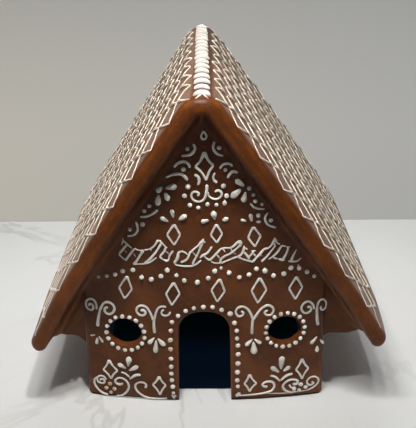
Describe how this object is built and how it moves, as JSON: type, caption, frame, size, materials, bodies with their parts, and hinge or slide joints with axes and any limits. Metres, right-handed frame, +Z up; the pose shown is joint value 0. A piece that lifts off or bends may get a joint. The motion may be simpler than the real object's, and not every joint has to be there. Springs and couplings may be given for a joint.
{
  "type": "gingerbread house ornament",
  "caption": "Hollow one-piece gingerbread house of glazed clay with raised white icing, open underneath, with an arched door and round windows in front.",
  "frame": {"origin": "On the resting plane, under the middle of the bounding box.", "axes": "+Z up, the front with door and windows looks along -Y, the ridge runs along Y, +X is to the right seen from the front."},
  "size_m": [0.2527, 0.2326, 0.2441],
  "materials": {
    "glazed_clay": "glossy brown glaze over fired clay, thin and warmer on edges",
    "icing_slip": "glossy off-white slip piped as icing"
  },
  "bodies": {
    "root": {"house": "glazed_clay", "ridge_dab_01": "icing_slip", "ridge_dab_02": "icing_slip", "ridge_dab_03": "icing_slip", "ridge_dab_04": "icing_slip", "ridge_dab_05": "icing_slip", "ridge_dab_06": "icing_slip", "ridge_dab_07": "icing_slip", "ridge_dab_08": "icing_slip", "ridge_dab_09": "icing_slip", "ridge_dab_10": "icing_slip", "ridge_dab_11": "icing_slip", "ridge_dab_12": "icing_slip", "ridge_dab_13": "icing_slip", "ridge_dab_14": "icing_slip", "ridge_dab_15": "icing_slip", "ridge_dab_16": "icing_slip", "ridge_dab_17": "icing_slip"}
  },
  "joints": []
}
